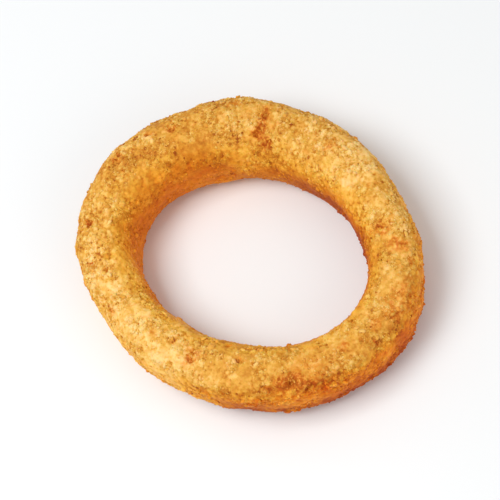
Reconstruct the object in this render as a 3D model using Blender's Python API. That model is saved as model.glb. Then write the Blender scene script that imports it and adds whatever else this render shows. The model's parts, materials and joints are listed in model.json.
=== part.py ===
"""A fried onion ring lying flat: the crisp crust round its hidden slice of onion, as one closed solid.

Metres, +Z up. The origin lies on the surface that the ring rests on, under the middle of the ring,
and +Y runs along the ring's longer way.
"""

import math

import bpy
from mathutils import Matrix, Vector, noise

# Driving dimensions of the average ring.
RING_RADIUS = 0.0297  # from the middle of the hole to the middle of the crust
CRUST_WIDTH = 0.0136  # from the hole to the outer wall
CRUST_HEIGHT = 0.0168  # from the underside to the top
SECTION_POWER = 2.5  # 2 makes the crust's section an oval, more makes it squarer
WALL_LEAN = 0.0004  # how far the top stands out past the middle, as the onion's wall leans

# A slice of onion is never quite round or even. Each wave is (lobes, amplitude, degrees to a crest).
OUTLINE_WAVES = ((2, 0.00315, 91), (3, 0.00025, 12), (4, 0.00045, 13))
WIDTH_WAVES = ((1, 0.0018, 47), (2, 0.00135, 37))
HEIGHT_WAVES = ((1, 0.0008, 70), (3, 0.0005, 100))
WARP_WAVES = ((2, 0.0002, 20), (3, 0.0006, 75))  # lifts the whole section off the surface

# Batter gathers in soft lumps. Each is (distance between lumps, how far they stand out).
LUMPS = ((0.013, 0.0007), (0.0062, 0.00045))

PRESSED_DEPTH = 0.0006  # how much of the underside is pressed flat where it rests, on average

STEPS_ROUND_RING = 110
STEPS_ROUND_SECTION = 36

CRUST_COLOUR = (0.80, 0.41, 0.09, 1.0)
CRUST_ROUGHNESS = 0.6


def clear_scene():
    """Removes the objects of the startup scene."""
    for item in list(bpy.data.objects):
        bpy.data.objects.remove(item)


def wave(turn, waves):
    """The sum of some waves at the angle turn round the ring."""
    return sum(
        amplitude * math.cos(lobes * (turn - math.radians(crest)))
        for lobes, amplitude, crest in waves
    )


def squared(value):
    """A cosine or a sine, reshaped so that the section it draws has flatter sides."""
    return math.copysign(abs(value) ** (2 / SECTION_POWER), value)


def lump_height(point):
    """How far the batter's lumps stand out at a point of the crust."""
    return sum(height * noise.noise(point / distance) for distance, height in LUMPS)


def crust_point(turn, around):
    """The point of the crust at the angle turn round the hole and the angle around its section."""
    half_width = (CRUST_WIDTH + wave(turn, WIDTH_WAVES)) / 2
    half_height = (CRUST_HEIGHT + wave(turn, HEIGHT_WAVES)) / 2
    outwards = Vector((math.cos(turn), math.sin(turn), 0))
    upwards = Vector((0, 0, 1))

    middle = outwards * (RING_RADIUS + wave(turn, OUTLINE_WAVES))
    middle += upwards * (half_height + wave(turn, WARP_WAVES) - PRESSED_DEPTH)
    lean = WALL_LEAN * math.sin(around)
    across = half_width * squared(math.cos(around)) + lean
    along = half_height * squared(math.sin(around))
    point = middle + outwards * across + upwards * along

    facing = outwards * math.cos(around) + upwards * math.sin(around)
    point += facing * lump_height(point)
    point.z = max(point.z, 0)
    return point


def add_ring():
    """The ring, from a torus whose every point is moved to its place on the uneven crust."""
    bpy.ops.mesh.primitive_torus_add(
        major_segments=STEPS_ROUND_RING,
        minor_segments=STEPS_ROUND_SECTION,
        major_radius=RING_RADIUS,
        minor_radius=CRUST_WIDTH / 2,
    )
    ring = bpy.context.object
    ring.name = ring.data.name = "onion_ring"
    for vertex in ring.data.vertices:
        x, y, z = vertex.co
        turn = math.atan2(y, x)
        around = math.atan2(z, math.hypot(x, y) - RING_RADIUS)
        vertex.co = crust_point(turn, around)
    centre_on_origin(ring.data)
    ring.data.shade_smooth()
    return ring


def centre_on_origin(mesh):
    """Moves a mesh sideways so that the middle of its box is over the origin."""
    across = [vertex.co.x for vertex in mesh.vertices]
    along = [vertex.co.y for vertex in mesh.vertices]
    middle = Vector((min(across) + max(across), min(along) + max(along), 0)) / 2
    mesh.transform(Matrix.Translation(-middle))


def crust_material():
    """Golden fried crust."""
    material = bpy.data.materials.new("fried_crust")
    material.use_nodes = True
    shader = material.node_tree.nodes["Principled BSDF"]
    shader.inputs["Base Color"].default_value = CRUST_COLOUR
    shader.inputs["Roughness"].default_value = CRUST_ROUGHNESS
    shader.inputs["Metallic"].default_value = 0
    return material


def put_in_collection(item, name):
    """Moves an object to a collection of its own."""
    collection = bpy.data.collections.new(name)
    bpy.context.scene.collection.children.link(collection)
    for holder in list(item.users_collection):
        holder.objects.unlink(item)
    collection.objects.link(item)


def main():
    clear_scene()
    ring = add_ring()
    ring.data.materials.append(crust_material())
    put_in_collection(ring, "fried_onion_ring")


main()
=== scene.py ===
import json
import math
import random

import bmesh
import bpy
import numpy as np
from mathutils import Matrix, Vector, kdtree, noise
from mathutils.bvhtree import BVHTree

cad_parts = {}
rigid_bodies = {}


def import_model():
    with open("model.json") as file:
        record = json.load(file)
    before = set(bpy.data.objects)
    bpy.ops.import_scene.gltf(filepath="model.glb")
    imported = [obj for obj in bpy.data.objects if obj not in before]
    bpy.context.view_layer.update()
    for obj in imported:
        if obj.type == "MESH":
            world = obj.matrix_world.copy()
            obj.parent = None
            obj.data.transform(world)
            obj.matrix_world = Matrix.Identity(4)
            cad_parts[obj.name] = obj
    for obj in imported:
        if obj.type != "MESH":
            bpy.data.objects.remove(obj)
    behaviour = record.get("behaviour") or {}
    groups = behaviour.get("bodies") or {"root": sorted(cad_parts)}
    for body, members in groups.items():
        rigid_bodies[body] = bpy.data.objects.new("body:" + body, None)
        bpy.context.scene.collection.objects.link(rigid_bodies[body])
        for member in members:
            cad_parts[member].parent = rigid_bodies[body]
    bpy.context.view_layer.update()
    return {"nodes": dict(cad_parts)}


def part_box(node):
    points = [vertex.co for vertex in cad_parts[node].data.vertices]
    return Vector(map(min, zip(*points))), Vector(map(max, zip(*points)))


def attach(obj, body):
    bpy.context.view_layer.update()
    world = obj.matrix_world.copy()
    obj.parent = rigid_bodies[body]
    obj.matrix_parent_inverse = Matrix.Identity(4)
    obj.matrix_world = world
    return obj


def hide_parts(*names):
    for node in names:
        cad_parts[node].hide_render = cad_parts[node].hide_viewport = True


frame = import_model()
mm = 0.001


# A socket that can be used in sums. Each operator adds the node that works it out.
class Wire:
    def __init__(self, graph, socket):
        self.graph = graph
        self.socket = socket

    def mathWith(self, operation, *inputs):
        return self.graph.add("ShaderNodeMath", {"operation": operation}, dict(enumerate(inputs)))

    def __add__(self, other):
        return self.mathWith("ADD", self, other)

    def __sub__(self, other):
        return self.mathWith("SUBTRACT", self, other)

    def __rsub__(self, other):
        return self.mathWith("SUBTRACT", other, self)

    def __mul__(self, other):
        return self.mathWith("MULTIPLY", self, other)

    def __pow__(self, other):
        return self.mathWith("POWER", self, other)

    __radd__ = __add__
    __rmul__ = __mul__

    def clamped(self):
        return self.mathWith("MINIMUM", self.mathWith("MAXIMUM", self, 0.0), 1.0)

    # Another output of the node that this socket belongs to.
    def beside(self, output):
        return Wire(self.graph, self.socket.node.outputs[output])


# A node tree, of a material or of a scatter.
class Graph:
    def __init__(self, tree):
        self.tree = tree
        tree.nodes.clear()

    # Adds any node: its type, its settings, what feeds its inputs, and which output is wanted.
    def add(self, kind, settings=None, inputs=None, output=0):
        node = self.tree.nodes.new(kind)
        for name, value in (settings or {}).items():
            if name == "stops":
                self.setStops(node.color_ramp, value)
            else:
                setattr(node, name, value)
        for name, value in (inputs or {}).items():
            if isinstance(value, Wire):
                self.tree.links.new(value.socket, node.inputs[name])
            else:
                node.inputs[name].default_value = value
        return Wire(self, node.outputs[output]) if node.outputs else None

    def setStops(self, ramp, stops):
        while len(ramp.elements) < len(stops):
            ramp.elements.new(1.0)
        for element, (place, colour) in zip(ramp.elements, stops):
            element.position = place
            element.color = (*colour, 1.0)

    # A straight line from one pair of values to another, held at its ends.
    def between(self, value, low, high, lowResult=0.0, highResult=1.0):
        ends = {"From Min": low, "From Max": high, "To Min": lowResult, "To Max": highResult}
        return self.add("ShaderNodeMapRange", {}, {"Value": value, **ends})

    # A colour multiplied by a tint, as far as the strength says.
    def tinted(self, colour, tint, strength=1.0):
        settings = {"data_type": "RGBA", "blend_type": "MULTIPLY"}
        return self.add("ShaderNodeMix", settings, {0: strength, 6: colour, 7: tint}, 2)


# The crust. A cloud is (distance between its lumps, its height), and its shift, where it has one,
# makes it differ from the others. A wave round the ring is (lobes, amplitude, degrees to a crest).
# A place on the ring is (angle round the ring, angle round its section), in degrees: 0 is the outer
# wall, 90 the top, 180 the inner wall and 270 the underside. The tone runs from 0, the deepest of
# the golds below, to 1, the palest.
crust = {
    "seed": 7,
    "voxel": 0.372 * mm,
    "smoothing": 5,  # rounds of smoothing before the relief is added
    "sink": 0.1 * mm,  # how far the body is drawn in, to leave room for the grains
    "sectionDepth": 4 * mm,  # how long a piece of the ring is measured to find its middle
    "outside": 15 * mm,  # a distance from that middle that lies outside the crust

    # relief
    "swells": ((5.5 * mm, 0.34 * mm), (2.4 * mm, 0.20 * mm)),
    "fineCloud": (0.75 * mm, 0.05 * mm),
    "grainSpacing": 0.84 * mm,
    "grainRadius": (0.42 * mm, 0.95 * mm),
    "grainHeight": (0.06 * mm, 0.28 * mm),
    "grainDome": 0.6,  # 1 makes a grain a parabola, and less makes it blunter
    "grainRough": 0.5,  # how much of a grain's height goes where the crust is quite smooth
    "pits": 260,
    "pitRadius": (0.25 * mm, 0.60 * mm),
    "pitDepth": (0.12 * mm, 0.45 * mm),
    "pitsInside": 0.6,  # how much shallower pits are on the inner wall
    "bend": (0.9 * mm, 0.25 * mm),  # bends grains and pits out of round
    "fray": (1.3 * mm, 0.9 * mm),  # frays the edges of marks

    # how rough the crust is, from smooth batter to coarse crumb
    "crumbyCloud": (3.5 * mm, 1.0, (5, 0, 0)),
    "crumbySpan": (0.1, 0.9),  # where in that cloud the roughness begins and ends
    "roughSpan": (0.75, 1.25),
    "roughPale": 1.6,  # how much rougher the paler stretches are
    "smoothInside": 0.52,  # how much smoother the inner wall is than the crown
    "roughWaves": ((1, 0.12, 75),),

    # tone
    "tone": 0.55,
    "toneWaves": ((1, 0.028, 185), (2, 0.105, 153), (3, 0.02, 33), (4, 0.03, 62)),
    "swellLightAndShade": 0.15,  # painted light and shade: how much paler the top of a swell is than a hollow
    "reliefLightAndShade": 0.33,  # painted light and shade: how much paler the top of a grain is than its foot
    "reliefMiddle": 0.45,  # the height, over the highest grain's, that keeps its tone
    "grainTone": 0.27,  # how much grains differ
    "grainEdge": 3,  # how quickly that sets in from a grain's edge
    "pitShade": 0.34,  # painted shade: how much deeper the bottom of a pit is
    "crestLight": 0.07,  # painted light: how much paler the crest is than its shoulders, where the upward faces catch most light
    "crestLightSlope": (0.6, 1.0),  # the normal's height where the shoulders end and where the crest is
    "crestLightMiddle": 0.6,
    "inFootShade": -0.18,  # painted shade: how much paler the foot of the inner wall is than its top, below 0 so that the foot is deeper
    "inFootShadeSpan": (15 * mm, 8 * mm),  # the heights where that begins and ends
    "inFootShadeWaves": ((1, -0.26, 322), (2, -0.20, 322)),
    # painted shade: the foot of the outer wall is deeper too, where the ring meets the floor
    "outFootShade": -0.18,
    "outFootShadeSpan": (9 * mm, 1 * mm),
    "outFootShadeWaves": ((1, -0.26, 230), (2, -0.13, 50)),

    # painted shade: the deeper, redder colour given to the walls by their slope, for their shade and
    # the light bounced between them
    "sideBlend": 0.3,  # how far the crown's inner and outer sides run into each other
    "leanCloud": (2.2 * mm, 0.2, (0, 7, 0)),  # makes the upper edges of the walls uneven
    "outWallSlope": (0.72, 0.0),  # the normal's height where the outer wall begins and is full
    "inWall": 0.87,
    "inWallShadeWaves": ((1, 0.1, 140), (2, 0.18, 110)),
    "outWall": 0.50,
    "outWallShadeWaves": ((1, 0.22, 258), (2, 0.20, 78)),
    "outWallShadeBrown": 0.35,  # painted shade: how much brown the outer wall is given all over

    # where loose crumbs hold
    "crumbFoot": (1.2 * mm, 2.2 * mm),  # the heights where they begin and are at their most
    "holdSpan": (0.1, 0.7),  # where in the crumby cloud they begin and are at their most
    "bareHoles": 2,  # how quickly they thin out towards the middle of a hole

    # Paler and deeper patches: the place, then its reach and how much paler it is. The deeper ones at
    # 355 are painted shade at the foot of the outer wall.
    "patches": (
        (5, 80, 4 * mm, 0.06),
        (15, 98, 5 * mm, -0.08),
        (32, 158, 5 * mm, 0.16),
        (38, 94, 8 * mm, 0.10),
        (62, 135, 10 * mm, -0.18),
        (64, 92, 4 * mm, -0.06),
        (76, 76, 5 * mm, 0.07),
        (124, 84, 5 * mm, 0.12),
        (130, 138, 7 * mm, 0.08),
        (143, 78, 5 * mm, 0.07),
        (165, 84, 5 * mm, 0.07),
        (183, 36, 9 * mm, 0.30),
        # painted shade at the foot of the outer wall
        (212, 355, 7 * mm, -0.16),
        (236, 92, 4 * mm, 0.08),
        (253, 112, 5 * mm, 0.20),
        (266, 122, 4 * mm, 0.08),
        # painted shade at the foot of the outer wall
        (270, 355, 7 * mm, -0.14),
        (305, 52, 6 * mm, 0.10),
        (335, 76, 8 * mm, 0.13),
    ),
    "patchWallShade": 1.2,  # how much less of the walls' painted shade the paler patches have

    # Browned, torn marks: the place, then its length along the ring and its width across it, and
    # last how brown it is. The long, soft ones on the lower outer edge are partly painted shade.
    "marks": (
        # on the crown and its shoulders
        (25, 78, 3.0 * mm, 6.5 * mm, 1.4),
        (25, 96, 2.4 * mm, 5.0 * mm, 1.5),
        (27, 111, 3.4 * mm, 3.2 * mm, 1.5),
        (21, 122, 2.2 * mm, 4.0 * mm, 1.0),
        (38, 54, 4.5 * mm, 1.6 * mm, 0.5),
        (65, 78, 3.0 * mm, 2.0 * mm, 0.9),
        (73, 69, 3.6 * mm, 1.6 * mm, 0.8),
        (87, 66, 4.0 * mm, 3.0 * mm, 0.9),
        (114, 76, 2.2 * mm, 2.4 * mm, 1.0),
        (129, 68, 1.6 * mm, 1.4 * mm, 0.7),
        (133, 89, 1.4 * mm, 1.4 * mm, 0.7),
        (151, 58, 4.0 * mm, 1.4 * mm, 0.5),
        (170, 86, 1.6 * mm, 2.0 * mm, 0.6),
        (192, 84, 4.0 * mm, 5.0 * mm, 0.7),
        (207, 127, 2.2 * mm, 2.0 * mm, 0.8),
        (222, 124, 3.0 * mm, 1.2 * mm, 0.7),
        (230, 52, 9.0 * mm, 4.0 * mm, 1.5),
        (235, 38, 7.0 * mm, 4.0 * mm, 1.5),
        (241, 18, 6.0 * mm, 5.0 * mm, 1.3),
        (218, 24, 7.0 * mm, 3.0 * mm, 0.8),
        # partly browning, partly painted shade on the lower outer edge turned from the light: a long,
        # soft mark
        (234, 34, 20.0 * mm, 9.0 * mm, 0.6),
        (253, 77, 3.0 * mm, 2.4 * mm, 0.6),
        (262, 42, 2.4 * mm, 2.4 * mm, 0.7),
        (266, 75, 3.0 * mm, 2.4 * mm, 0.6),
        # partly browning, partly painted shade on the lower outer edge: two long, soft marks
        (277, 48, 12.0 * mm, 7.0 * mm, 0.6),
        (280, 22, 12.0 * mm, 7.0 * mm, 0.2),
        (280, 63, 2.6 * mm, 1.4 * mm, 0.8),
        (291, 50, 3.0 * mm, 3.0 * mm, 0.5),
        (296, 70, 3.4 * mm, 6.0 * mm, 0.8),
        (302, 96, 3.0 * mm, 5.0 * mm, 0.8),
        (349, 78, 2.2 * mm, 4.5 * mm, 0.5),
        # on the walls
        (20, 320, 6.0 * mm, 4.0 * mm, 0.7),
        (160, 330, 7.0 * mm, 3.0 * mm, 0.8),
        (330, 0, 4.0 * mm, 3.0 * mm, 0.7),
        (55, 200, 4.0 * mm, 3.0 * mm, 0.6),
        (215, 190, 5.0 * mm, 2.5 * mm, 0.7),
        # underneath
        (100, 265, 8.0 * mm, 5.0 * mm, 0.7),
        (200, 275, 9.0 * mm, 5.0 * mm, 0.8),
        (315, 268, 7.0 * mm, 5.0 * mm, 0.7),
    ),
    "markReach": 1.3,  # how far a mark is looked for, over its longer half
    "markEdge": (1.25, 0.35),  # where it begins and is at its brownest, over its half lengths
    "tornCloud": (0.9 * mm, 0.75 * mm, (9, 0, 0)),  # the torn floor of a mark
    "tornDepth": 0.12 * mm,

    # Single holes and blisters: the place, then its radius and how far it rises.
    "spots": (
        # holes
        (27, 111, 0.85 * mm, -0.65 * mm),
        (25, 72, 0.60 * mm, -0.45 * mm),
        (24, 120, 0.60 * mm, -0.40 * mm),
        (65, 78, 0.80 * mm, -0.50 * mm),
        (74, 69, 0.60 * mm, -0.45 * mm),
        (67, 144, 0.60 * mm, -0.40 * mm),
        (88, 75, 0.60 * mm, -0.45 * mm),
        (114, 76, 0.80 * mm, -0.55 * mm),
        (129, 68, 0.60 * mm, -0.50 * mm),
        (133, 89, 0.65 * mm, -0.50 * mm),
        (170, 87, 0.65 * mm, -0.50 * mm),
        (181, 92, 0.60 * mm, -0.45 * mm),
        (192, 93, 0.65 * mm, -0.50 * mm),
        (192, 77, 0.85 * mm, -0.70 * mm),
        (207, 127, 0.75 * mm, -0.50 * mm),
        (213, 95, 0.75 * mm, -0.50 * mm),
        (222, 54, 0.70 * mm, -0.45 * mm),
        (226, 64, 0.75 * mm, -0.45 * mm),
        (231, 52, 0.80 * mm, -0.50 * mm),
        (240, 26, 0.90 * mm, -0.50 * mm),
        (259, 69, 0.65 * mm, -0.45 * mm),
        (262, 42, 0.65 * mm, -0.45 * mm),
        # blisters
        (21, 88, 0.90 * mm, 0.35 * mm),
        (28, 84, 0.80 * mm, 0.30 * mm),
        (29, 100, 0.90 * mm, 0.30 * mm),
        (64, 93, 1.10 * mm, 0.30 * mm),
        (73, 79, 1.20 * mm, 0.25 * mm),
        (83, 144, 1.30 * mm, 0.40 * mm),
        (186, 80, 1.60 * mm, 0.30 * mm),
        (236, 92, 1.50 * mm, 0.30 * mm),
        (243, 114, 1.20 * mm, 0.30 * mm),
        (250, 128, 1.40 * mm, 0.35 * mm),
        (259, 120, 1.60 * mm, 0.35 * mm),
        (266, 134, 1.20 * mm, 0.30 * mm),
    ),
    "spotDome": 0.7,  # as for a grain
    "holeShade": 0.22 / mm,  # painted shade: how much deeper a hole is for its depth
    "blisterTone": 0.40 / mm,  # how much paler a blister is for its height
    # painted shade: how much browner a hole is for its depth
    "holeShadeBrown": 1.3 / mm,
}


# A bmesh of a node of the frame, with its loose triangles joined up.
def copyOfSolid(node):
    shape = bmesh.new()
    shape.from_mesh(frame["nodes"][node].data)
    bmesh.ops.remove_doubles(shape, verts=shape.verts, dist=0.001 * mm)
    return shape


def newPiece(name, shape):
    mesh = bpy.data.meshes.new(name)
    shape.to_mesh(mesh)
    shape.free()
    piece = bpy.data.objects.new(name, mesh)
    bpy.context.scene.collection.objects.link(piece)
    return piece


# Works a piece's modifiers into its mesh.
def applyModifiers(piece):
    graph = bpy.context.evaluated_depsgraph_get()
    mesh = bpy.data.meshes.new_from_object(piece.evaluated_get(graph))
    piece.modifiers.clear()
    before, piece.data = piece.data, mesh
    bpy.data.meshes.remove(before)
    mesh.name = piece.name


# How far a value has gone from one place to another, eased and held at the ends.
def ramp(value, start, end):
    share = min(max((value - start) / (end - start), 0), 1)
    return share * share * (3 - 2 * share)


# The sum of some waves at an angle round the ring.
def wave(turn, waves):
    return sum(size * math.cos(lobes * (turn - math.radians(crest))) for lobes, size, crest in waves)


def cloudAt(place, spacing, height, shift=(0, 0, 0)):
    return noise.noise(place / spacing + Vector(shift)) * height


# A place moved about by a cloud, so that what is looked up there comes out uneven.
def movedBy(place, spacing, reach):
    return place + noise.noise_vector(place / spacing) * reach


# Points spread over a mesh, no two nearer than the spacing.
def spreadPoints(points, spacing, dice):
    order = list(range(len(points)))
    dice.shuffle(order)
    cells = {}
    chosen = []
    for index in order:
        point = points[index]
        cell = tuple(int(math.floor(part / spacing)) for part in point)
        near = [
            chosen[other]
            for x in (-1, 0, 1)
            for y in (-1, 0, 1)
            for z in (-1, 0, 1)
            for other in cells.get((cell[0] + x, cell[1] + y, cell[2] + z), ())
        ]
        if all((point - other).length > spacing for other in near):
            cells.setdefault(cell, []).append(len(chosen))
            chosen.append(point)
    return chosen


# Round bumps or pits of chance sizes at some points.
class Bumps:
    def __init__(self, points, radii, heights, dice):
        self.radii = [dice.uniform(*radii) for point in points]
        self.heights = [dice.uniform(*heights) for point in points]
        self.widest = radii[1]
        self.tree = kdtree.KDTree(len(points))
        for index, point in enumerate(points):
            self.tree.insert(point, index)
        self.tree.balance()

    # Those that reach a place, each with a share that falls from 1 at its middle to 0 at its edge.
    def at(self, place):
        for point, index, distance in self.tree.find_range(place, self.widest):
            share = 1 - (distance / self.radii[index]) ** 2
            if share > 0:
                yield index, share


# The height of the highest grain at a place, and how much it changes the tone there.
def grainAt(place, grains, tones):
    height = tone = 0
    for index, share in grains.at(place):
        grainHeight = grains.heights[index] * share ** crust["grainDome"]
        if grainHeight > height:
            height = grainHeight
            tone = tones[index] * min(share * crust["grainEdge"], 1)
    return height, tone


# How deep the pits are at a place, and the share of the one whose middle is nearest.
def pitAt(place, pits):
    depth = most = 0
    for index, share in pits.at(place):
        depth = max(depth, pits.heights[index] * share)
        most = max(most, share)
    return depth, most


# The middle of the crust's section at an angle round the ring.
def sectionMiddle(turn):
    low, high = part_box("onion_ring")
    outwards = Vector((math.cos(turn), math.sin(turn), 0))
    reach = [
        vertex.co.dot(outwards)
        for vertex in frame["nodes"]["onion_ring"].data.vertices
        if abs(vertex.co.cross(outwards).z) < crust["sectionDepth"] / 2 and vertex.co.dot(outwards) > 0
    ]
    return outwards * (min(reach) + max(reach)) / 2 + Vector((0, 0, (low.z + high.z) / 2))


# The point and the normal of the crust at a place on the ring.
def onCrust(tree, turn, around):
    turn = math.radians(turn)
    around = math.radians(around)
    facing = Vector((math.cos(turn), math.sin(turn), 0)) * math.cos(around)
    facing.z = math.sin(around)
    return tree.ray_cast(sectionMiddle(turn) + facing * crust["outside"], -facing)[:2]


# The patches or the spots, each with its place found on the crust.
def placed(tree, features):
    return [(onCrust(tree, *angles)[0], radius, change) for *angles, radius, change in features]


# The marks, each as its middle, its reach, the ways along and across it over its half lengths, and
# its brown.
def placeMarks(tree):
    found = []
    for turn, around, along, across, brown in crust["marks"]:
        place, normal = onCrust(tree, turn, around)
        turn = math.radians(turn)
        ahead = Vector((-math.sin(turn), math.cos(turn), 0))
        reach = max(along, across) / 2 * crust["markReach"]
        found.append((place, reach, ahead / (along / 2), normal.cross(ahead) / (across / 2), brown))
    return found


# How brown the marks make a place.
def brownAt(place, marks):
    most = 0
    for middle, reach, ahead, aside, brown in marks:
        offset = place - middle
        if offset.length < reach:
            share = math.hypot(offset.dot(ahead), offset.dot(aside))
            most = max(most, brown * ramp(share, *crust["markEdge"]))
    return most


# How much paler the patches make a place.
def patchTone(place, patches):
    return sum(change * ramp((place - middle).length, reach, 0) for middle, reach, change in patches)


# How far the spots raise a place, and how much they change its tone; a hole's deeper tone is painted
# shade.
def spotAt(place, spots):
    for middle, radius, rise in spots:
        share = 1 - ((place - middle).length / radius) ** 2
        if share > 0:
            rise *= share ** crust["spotDome"]
            return rise, rise * crust["blisterTone" if rise > 0 else "holeShade"]
    return 0, 0


# How far a place is on the inner side of the crown, and how far down the inner and the outer wall
# its slope puts it, each from 0 to 1.
def sidesAt(place, normal, turn):
    inwards = -(normal.x * math.cos(turn) + normal.y * math.sin(turn))
    inner = ramp(inwards, -crust["sideBlend"], crust["sideBlend"])
    lean = normal.z + cloudAt(place, *crust["leanCloud"])
    inWall = inner * min(max(1 - lean, 0), 1)
    outWall = (1 - inner) * ramp(lean, *crust["outWallSlope"])
    return inner, inWall, outWall


def roughnessAt(turn, inWall, paler, crumby):
    smooth, coarse = crust["roughSpan"]
    rough = smooth + (coarse - smooth) * ramp(crumby, *crust["crumbySpan"])
    rough *= 1 + paler * crust["roughPale"]
    return rough * (1 - inWall * crust["smoothInside"]) * (1 + wave(turn, crust["roughWaves"]))


# Painted shade: how much paler the feet of the walls are at a place, below 0 where they are deeper.
def footShade(place, turn, inner):
    inFootShade = crust["inFootShade"] + wave(turn, crust["inFootShadeWaves"])
    outFootShade = crust["outFootShade"] + wave(turn, crust["outFootShadeWaves"])
    inFootShade *= inner * ramp(place.z, *crust["inFootShadeSpan"])
    outFootShade *= (1 - inner) * ramp(place.z, *crust["outFootShadeSpan"])
    return inFootShade + outFootShade


# How much of the walls' painted shade, a deeper and redder colour, a place takes on.
def wallShadeAt(turn, inWall, outWall, patched):
    wall = inWall * (crust["inWall"] + wave(turn, crust["inWallShadeWaves"]))
    wall += outWall * (crust["outWall"] + wave(turn, crust["outWallShadeWaves"]))
    return wall * (1 - patched * crust["patchWallShade"])


# Raises the swells, grains and blisters, and sinks the marks, holes and pits. Gives what the
# finish and the crumbs need to know at each vertex: its tone, with painted light and shade on the
# crest, swells, grains, pits, holes and wall feet, how much of the walls' painted shade it has, how
# rough it is, how brown it is, with painted shade in the holes and on the outer wall, and how well
# crumbs hold there.
def roughen(shape):
    dice = random.Random(crust["seed"])
    noise.seed_set(crust["seed"])  # otherwise noise_vector starts from the clock
    starts = [vertex.co.copy() for vertex in shape.verts]
    normals = [vertex.normal.copy() for vertex in shape.verts]
    grainPoints = spreadPoints(starts, crust["grainSpacing"], dice)
    grains = Bumps(grainPoints, crust["grainRadius"], crust["grainHeight"], dice)
    grainTones = [dice.uniform(-0.5, 0.5) for point in grainPoints]
    pits = Bumps(dice.sample(starts, crust["pits"]), crust["pitRadius"], crust["pitDepth"], dice)
    print("grains:", len(grainPoints))

    tree = BVHTree.FromBMesh(shape)
    marks = placeMarks(tree)
    spots = placed(tree, crust["spots"])
    patches = placed(tree, crust["patches"])
    looks = {"tone": [], "wall": [], "rough": [], "brown": [], "hold": []}
    for vertex, start, normal in zip(shape.verts, starts, normals):
        turn = math.atan2(start.y, start.x)
        inner, inWall, outWall = sidesAt(start, normal, turn)
        patched = patchTone(start, patches)
        paler = wave(turn, crust["toneWaves"]) + patched
        crumby = 0.5 + cloudAt(start, *crust["crumbyCloud"])
        rough = roughnessAt(turn, inWall, paler, crumby)
        pitted = min(rough, 1) * (1 - inWall * crust["pitsInside"])

        bent = movedBy(start, *crust["bend"])
        frayed = movedBy(start, *crust["fray"])
        swell = sum(cloudAt(start, *cloud) for cloud in crust["swells"])
        swell *= 1 - inWall * crust["smoothInside"]
        grain, grainChange = grainAt(bent, grains, grainTones)
        depth, pit = pitAt(bent, pits)
        rise, spotChange = spotAt((bent + frayed) / 2, spots)
        brown = brownAt(frayed, marks)
        height = swell + cloudAt(start, *crust["fineCloud"])
        height += grain * (1 + (rough - 1) * crust["grainRough"]) - depth * pitted
        height += brown * (cloudAt(start, *crust["tornCloud"]) - crust["tornDepth"]) + rise
        vertex.co = start + normal * (height - crust["sink"])
        vertex.co.z = max(vertex.co.z, 0)

        relief = grain / crust["grainHeight"][1]
        looks["tone"].append(
            crust["tone"]
            + paler
            # painted light and shade: paler tops of swells and grains, deeper hollows and grain feet
            + swell / crust["swells"][0][1] * crust["swellLightAndShade"]
            + (relief - crust["reliefMiddle"]) * crust["reliefLightAndShade"] * rough
            + grainChange * crust["grainTone"] * rough
            # painted shade at the bottom of the pits
            - depth / crust["pitDepth"][1] * crust["pitShade"] * pitted
            # painted shade in the holes, paler tone on the blisters
            + spotChange
            # painted light on the crest
            + (ramp(normal.z, *crust["crestLightSlope"]) - crust["crestLightMiddle"]) * crust["crestLight"]
            # painted shade at the feet of the walls
            + footShade(start, turn, inner)
        )
        # How much painted shade the walls' deeper colour gives this vertex.
        looks["wall"].append(wallShadeAt(turn, inWall, outWall, patched))
        looks["rough"].append(rough)
        # Brown from the marks, with painted shade in the holes and on the outer wall.
        looks["brown"].append(max(brown, -rise * crust["holeShadeBrown"], outWall * crust["outWallShadeBrown"]))
        hold = ramp(start.z, *crust["crumbFoot"]) * ramp(crumby, *crust["holdSpan"]) * rough
        looks["hold"].append(hold * (1 - max(pit, -spotChange * crust["bareHoles"])))
    return looks


def store(mesh, name, values):
    layer = mesh.attributes.new(name, "FLOAT", "POINT")
    layer.data.foreach_set("value", np.array(values, np.float32))


def makeCrust():
    piece = newPiece("crust", copyOfSolid("onion_ring"))
    rounding = piece.modifiers.new("rounding", "SUBSURF")
    rounding.levels = rounding.render_levels = 2
    voxels = piece.modifiers.new("voxels", "REMESH")
    voxels.mode = "VOXEL"
    voxels.voxel_size = crust["voxel"]
    applyModifiers(piece)

    shape = bmesh.new()
    shape.from_mesh(piece.data)
    axes = {"use_axis_x": True, "use_axis_y": True, "use_axis_z": True}
    for step in range(crust["smoothing"]):
        bmesh.ops.smooth_vert(shape, verts=shape.verts, factor=0.5, **axes)
    shape.normal_update()
    looks = roughen(shape)
    shape.to_mesh(piece.data)
    shape.free()
    piece.data.shade_smooth()
    for name, values in looks.items():
        store(piece.data, name, values)
    print("crust:", 2 * len(piece.data.polygons), "triangles")
    return piece


# Loose crumbs on the crust, one piece for each kind. The tone is how much paler than the crust they
# are, and small is how much more small ones there are than large ones, where 1 is evenly spread.
crumbs = {
    "grit": {
        "spacing": 0.41 * mm,
        "density": 4.4e6,  # most crumbs to a square metre
        "radius": (0.09 * mm, 0.20 * mm),
        "small": 1.5,
        "tone": (-0.22, 0.42),
        "rounds": 1,  # how finely each crumb is divided
        "seed": 5,
    },
    "fineCrumbs": {
        "spacing": 0.46 * mm,
        "density": 3.2e6,
        "radius": (0.16 * mm, 0.40 * mm),
        "small": 2.0,
        "tone": (-0.20, 0.35),
        "rounds": 1,
        "seed": 3,
    },
    "toastedCrumbs": {
        "spacing": 2.0 * mm,
        "density": 0.07e6,
        "radius": (0.22 * mm, 0.45 * mm),
        "small": 1.5,
        "tone": (-0.45, -0.20),
        "rounds": 2,
        "seed": 17,
    },
    "coarseCrumbs": {
        "spacing": 1.2 * mm,
        "density": 0.6e6,
        "radius": (0.30 * mm, 0.80 * mm),
        "small": 2.6,
        "tone": (-0.14, 0.28),
        "rounds": 2,
        "seed": 11,
    },
}

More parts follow.
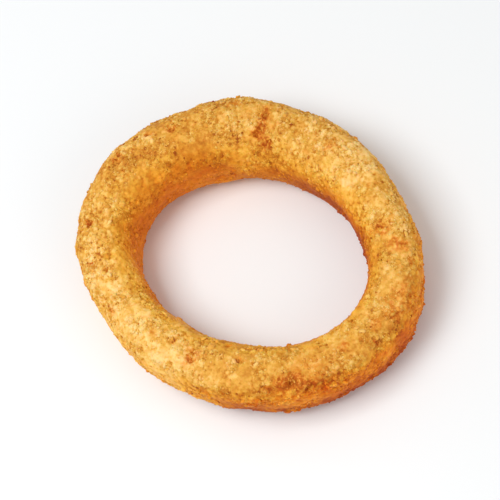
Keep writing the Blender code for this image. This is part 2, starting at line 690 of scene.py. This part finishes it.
# What all kinds of crumb share. Lengths are in crumb radii.
crumbForm = {
    "shapes": 6,  # each crumb is a turned and stretched copy of one of these
    "uneven": 0.75,
    "bumps": 1.1,  # how many bumps there are to a radius
    "block": (1, 0.8, 0.7),
    "sunk": 0.1,
    "stretch": ((0.8, 1.3), (0.7, 1.1), (0.5, 1.0)),
    "tilt": 0.5,  # how far a crumb leans either way, in radians
}


def crumbShapes(rounds):
    shapes = bpy.data.collections.new("crumbShapes")
    bpy.context.scene.collection.children.link(shapes)
    for number in range(crumbForm["shapes"]):
        shape = bmesh.new()
        bmesh.ops.create_icosphere(shape, subdivisions=rounds, radius=1)
        other = Vector((number * 7.3, 0, 0))  # another stretch of the noise for each shape
        for vertex in shape.verts:
            vertex.co *= 1 + crumbForm["uneven"] * noise.noise(vertex.co * crumbForm["bumps"] + other)
        bmesh.ops.scale(shape, vec=crumbForm["block"], verts=shape.verts)
        bmesh.ops.translate(shape, vec=(0, 0, -crumbForm["sunk"]), verts=shape.verts)
        lump = newPiece(f"lump{number}", shape)
        lump.data.shade_smooth()
        bpy.context.scene.collection.objects.unlink(lump)
        shapes.objects.link(lump)
    return shapes


def scatterTree(name, values, shapes):
    tree = bpy.data.node_groups.new(name, "GeometryNodeTree")
    tree.interface.new_socket("Geometry", in_out="INPUT", socket_type="NodeSocketGeometry")
    tree.interface.new_socket("Geometry", in_out="OUTPUT", socket_type="NodeSocketGeometry")
    graph = Graph(tree)

    def dice(number, low=0.0, high=1.0):
        inputs = {2: low, 3: high, "Seed": values["seed"] * 10 + number}
        return graph.add("FunctionNodeRandomValue", {"data_type": "FLOAT"}, inputs, 1)

    def triple(*parts):
        return graph.add("ShaderNodeCombineXYZ", {}, dict(enumerate(parts)))

    hold = graph.add("GeometryNodeInputNamedAttribute", {"data_type": "FLOAT"}, {"Name": "hold"})
    inputs = {
        "Mesh": graph.add("NodeGroupInput"),
        "Distance Min": values["spacing"],
        "Density Max": values["density"],
        "Density Factor": hold,
        "Seed": values["seed"],
    }
    points = graph.add("GeometryNodeDistributePointsOnFaces", {"distribute_method": "POISSON"}, inputs)

    low, high = values["radius"]
    radius = low + (high - low) * dice(1) ** values["small"]
    stretch = triple(*(dice(number, *span) for number, span in enumerate(crumbForm["stretch"], 2)))
    size = graph.add("ShaderNodeVectorMath", {"operation": "SCALE"}, {0: stretch, "Scale": radius})

    tilt = crumbForm["tilt"]
    spin = triple(dice(5, -tilt, tilt), dice(6, -tilt, tilt), dice(7, 0, math.tau))
    spun = graph.add("FunctionNodeEulerToRotation", {}, {0: spin})
    inputs = {0: points.beside("Rotation"), 1: spun}
    turn = graph.add("FunctionNodeRotateRotation", {"rotation_space": "LOCAL"}, inputs)

    inputs = {"Collection": shapes, "Separate Children": True, "Reset Children": True}
    lumps = graph.add("GeometryNodeCollectionInfo", {}, inputs)
    inputs = {4: 0, 5: crumbForm["shapes"] - 1, "Seed": values["seed"]}
    which = graph.add("FunctionNodeRandomValue", {"data_type": "INT"}, inputs, 2)
    inputs = {
        "Points": points,
        "Instance": lumps,
        "Pick Instance": True,
        "Instance Index": which,
        "Rotation": turn,
        "Scale": size,
    }
    copies = graph.add("GeometryNodeInstanceOnPoints", {}, inputs)
    settings = {"data_type": "FLOAT", "domain": "INSTANCE"}
    inputs = {"Geometry": copies, "Name": "crumbTone", "Value": dice(8, *values["tone"])}
    toned = graph.add("GeometryNodeStoreNamedAttribute", settings, inputs)
    graph.add("NodeGroupOutput", {}, {0: graph.add("GeometryNodeRealizeInstances", {}, {0: toned})})
    return tree


def scatterCrumbs(name, values, crustPiece):
    shapes = crumbShapes(values["rounds"])
    piece = bpy.data.objects.new(name, crustPiece.data.copy())
    bpy.context.scene.collection.objects.link(piece)
    scatter = piece.modifiers.new("scatter", "NODES")
    scatter.node_group = scatterTree(name, values, shapes)
    applyModifiers(piece)
    bpy.data.node_groups.remove(bpy.data.node_groups[name])
    for lump in list(shapes.objects):
        bpy.data.objects.remove(lump)
    bpy.data.collections.remove(shapes)
    print(name + ":", len(piece.data.polygons), "triangles")
    return piece


# The finish of the crust and of its crumbs. A cloud is (distance between its patches, how much it
# changes the tone), and a span is where in a cloud something begins and ends.
finish = {
    # from the deepest tone, which hollows reach with their painted shade, to the palest crumb
    "golds": (
        (0.00, (0.365, 0.088, 0.007)),
        (0.25, (0.580, 0.215, 0.017)),
        (0.50, (0.760, 0.380, 0.054)),
        (0.72, (0.880, 0.518, 0.130)),
        (1.00, (0.980, 0.645, 0.245)),
    ),
    "patches": (9 * mm, 0.13),
    "mottle": (2.2 * mm, 0.07),
    "speckle": (0.75 * mm, 1.0),
    "specks": (0.95 * mm, 0.28),  # small deeper specks
    "specksSpan": (0.40, 0.30),
    "blush": (1.4 * mm, 0.5),  # peach patches: distance between them, strength
    "blushSpan": (0.48, 0.66),
    "blushTint": (1.0, 0.83, 0.80, 1),
    # painted shade: what the golds are multiplied by, from the crown to the foot of a wall
    "wallShadeTints": (
        (0.00, (1.00, 1.00, 1.00)),
        (0.10, (1.01, 0.99, 0.76)),
        (0.34, (1.06, 0.98, 0.58)),
        (0.62, (1.08, 0.86, 0.36)),
        (0.82, (1.07, 0.73, 0.22)),
        (1.00, (1.05, 0.62, 0.17)),
    ),
    # what they are multiplied by as the brown deepens, the brown being the marks' browning with painted
    # shade in the holes and on the outer wall
    "brownTints": (
        (0.00, (1.00, 1.00, 1.00)),
        (0.45, (0.96, 0.73, 0.50)),
        (1.00, (0.72, 0.38, 0.17)),
    ),
    "brownDepth": 0.9,
    "brownUnderWallShade": 0.5,  # how much of the brown the walls' painted shade takes up
    "blotch": 0.8 * mm,  # distance between the blotches that the brown breaks up into
    "blotchSpan": (0.40, 0.60),
    "blotchBrown": (0.15, 1.5),  # how much of the brown is left between them and in them
    "bump": (0.3 * mm, 0.12 * mm),  # distance between the finest bumps, height
    "bumpStrength": 0.5,
    "glossTone": (0.3, 0.8),  # the tones that have the next two roughnesses
    "gloss": (0.65, 0.50),
    "specular": 0.15,
    "glow": 0.3,  # how much light passes through the crust
    "glowReach": (1.0, 0.38, 0.1),
    "crustGlow": 1.7 * mm,  # how far light passes through the crust, and through a crumb
    "crumbGlow": 0.5 * mm,
}


def crustMaterial(name, loose=False):
    material = bpy.data.materials.new(name)
    material.use_nodes = True
    graph = Graph(material.node_tree)
    place = graph.add("ShaderNodeTexCoord", {}, {}, "Object")

    def stored(attribute):
        return graph.add("ShaderNodeAttribute", {"attribute_name": attribute}, {}, "Fac")

    def cloud(spacing, detail=2.0):
        inputs = {"Vector": place, "Scale": 1 / spacing, "Detail": detail, "Roughness": 0.55}
        return graph.add("ShaderNodeTexNoise", {}, inputs)

    def varied(spacing, change, detail=2.0):
        return (cloud(spacing, detail) - 0.5) * change

    tone = stored("tone") + varied(*finish["patches"]) + varied(*finish["mottle"], 3.0)
    if loose:
        tone = tone + stored("crumbTone")
    else:
        spacing, change = finish["specks"]
        specks = graph.between(cloud(spacing, 1.0), *finish["specksSpan"]) * change
        tone = tone + (varied(*finish["speckle"], 3.0) - specks) * stored("rough")
    golds = graph.add("ShaderNodeValToRGB", {"stops": finish["golds"]}, {0: tone.clamped()})
    spacing, strength = finish["blush"]
    blush = graph.between(cloud(spacing), *finish["blushSpan"]) * strength
    blushed = graph.tinted(golds, finish["blushTint"], blush)

    # Painted shade: the walls' deeper, redder colour.
    wall = stored("wall")
    wallShading = graph.add("ShaderNodeValToRGB", {"stops": finish["wallShadeTints"]}, {0: wall.clamped()})
    wallShaded = graph.tinted(blushed, wallShading)

    blotch = graph.between(cloud(finish["blotch"]), *finish["blotchSpan"], *finish["blotchBrown"])
    # Brown from the marks, with painted shade in the holes and on the outer wall.
    brown = stored("brown") * finish["brownDepth"] * blotch * (1.0 - wall * finish["brownUnderWallShade"])
    brownAndShadeTint = graph.add("ShaderNodeValToRGB", {"stops": finish["brownTints"]}, {0: brown.clamped()})

    spacing, height = finish["bump"]
    bump = {"Strength": finish["bumpStrength"], "Distance": height, "Height": cloud(spacing, 3.0)}
    shader = graph.add(
        "ShaderNodeBsdfPrincipled",
        {"subsurface_method": "RANDOM_WALK"},
        {
            "Base Color": graph.tinted(wallShaded, brownAndShadeTint),
            "Roughness": graph.between(tone, *finish["glossTone"], *finish["gloss"]),
            "Normal": graph.add("ShaderNodeBump", {}, bump),
            "Specular IOR Level": finish["specular"],
            "Subsurface Weight": finish["glow"],
            "Subsurface Radius": finish["glowReach"],
            "Subsurface Scale": finish["crumbGlow" if loose else "crustGlow"],
        },
    )
    graph.add("ShaderNodeOutputMaterial", {}, {"Surface": shader})
    return material


ring = makeCrust()
ring.data.materials.append(crustMaterial("friedCrust"))
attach(ring, "root")
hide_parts("onion_ring")
crumbGold = crustMaterial("crumbGold", loose=True)
for name, values in crumbs.items():
    piece = scatterCrumbs(name, values, ring)
    piece.data.materials.clear()
    piece.data.materials.append(crumbGold)
    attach(piece, "root")


# The floor, the lights and the camera. A light's direction is how far it stands to the camera's
# right, above the camera and towards it, as seen from the ring.
studio = {
    "azimuth": -28.5,
    "elevation": 62,
    "roll": 30,
    "lens": 120,
    "frameWidth": 108 * mm,  # what the picture takes in at the ring
    "nearest": 10 * mm,
    "sky": 0.52,
    "lights": {
        "key": {
            "direction": (-0.8, 0.25, 1.0),
            "distance": 0.6,
            "size": 0.35,
            "power": 2.4,
            "colour": (1, 1, 1),
        },
        "fill": {
            "direction": (0.9, -0.35, 1.0),
            "distance": 0.7,
            "size": 0.6,
            "power": 1.3,
            "colour": (1, 0.93, 0.86),
        },
    },
    "floorReach": 1.5,
    "floorColour": (0.87, 0.89, 0.90, 1),
    "floorRoughness": 0.35,
}


# The camera's right, its up and the way from the ring towards it.
def cameraAxes():
    azimuth, elevation, roll = (math.radians(studio[name]) for name in ("azimuth", "elevation", "roll"))
    level = Vector((math.cos(azimuth), math.sin(azimuth), 0))
    towards = Vector((math.sin(azimuth), -math.cos(azimuth), 0)) * math.cos(elevation)
    towards.z = math.sin(elevation)
    upright = towards.cross(level)
    right = level * math.cos(roll) - upright * math.sin(roll)
    up = level * math.sin(roll) + upright * math.cos(roll)
    return right, up, towards


def makeCamera():
    right, up, towards = cameraAxes()
    low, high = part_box("onion_ring")
    middle = Vector((0, 0, (low.z + high.z) / 2))
    data = bpy.data.cameras.new("camera")
    data.lens = studio["lens"]
    data.clip_start = studio["nearest"]
    distance = studio["frameWidth"] * data.lens / data.sensor_width
    camera = bpy.data.objects.new("camera", data)
    turn = Matrix((right, up, towards)).transposed().to_4x4()
    camera.matrix_world = Matrix.Translation(middle + towards * distance) @ turn
    bpy.context.scene.collection.objects.link(camera)
    bpy.context.scene.camera = camera


def makeLight(name, values):
    data = bpy.data.lights.new(name, "AREA")
    data.size = values["size"]
    data.energy = values["power"]
    data.color = values["colour"]
    light = bpy.data.objects.new(name, data)
    ways = [axis * share for axis, share in zip(cameraAxes(), values["direction"])]
    back = (ways[0] + ways[1] + ways[2]).normalized()
    turn = back.to_track_quat("Z", "Y").to_matrix().to_4x4()
    light.matrix_world = Matrix.Translation(back * values["distance"]) @ turn
    bpy.context.scene.collection.objects.link(light)


def makeSky():
    sky = bpy.data.worlds.new("sky")
    sky.use_nodes = True
    background = sky.node_tree.nodes["Background"]
    background.inputs["Color"].default_value = (1, 1, 1, 1)
    background.inputs["Strength"].default_value = studio["sky"]
    bpy.context.scene.world = sky
    bpy.context.scene.view_settings.view_transform = "Standard"


def makeFloor():
    shape = bmesh.new()
    bmesh.ops.create_grid(shape, x_segments=1, y_segments=1, size=studio["floorReach"])
    floor = newPiece("floor", shape)
    material = bpy.data.materials.new("paleFloor")
    material.use_nodes = True
    graph = Graph(material.node_tree)
    inputs = {"Base Color": studio["floorColour"], "Roughness": studio["floorRoughness"]}
    shader = graph.add("ShaderNodeBsdfPrincipled", {}, inputs)
    graph.add("ShaderNodeOutputMaterial", {}, {"Surface": shader})
    floor.data.materials.append(material)


makeFloor()
makeCamera()
for name, values in studio["lights"].items():
    makeLight(name, values)
makeSky()
print("studio ready")
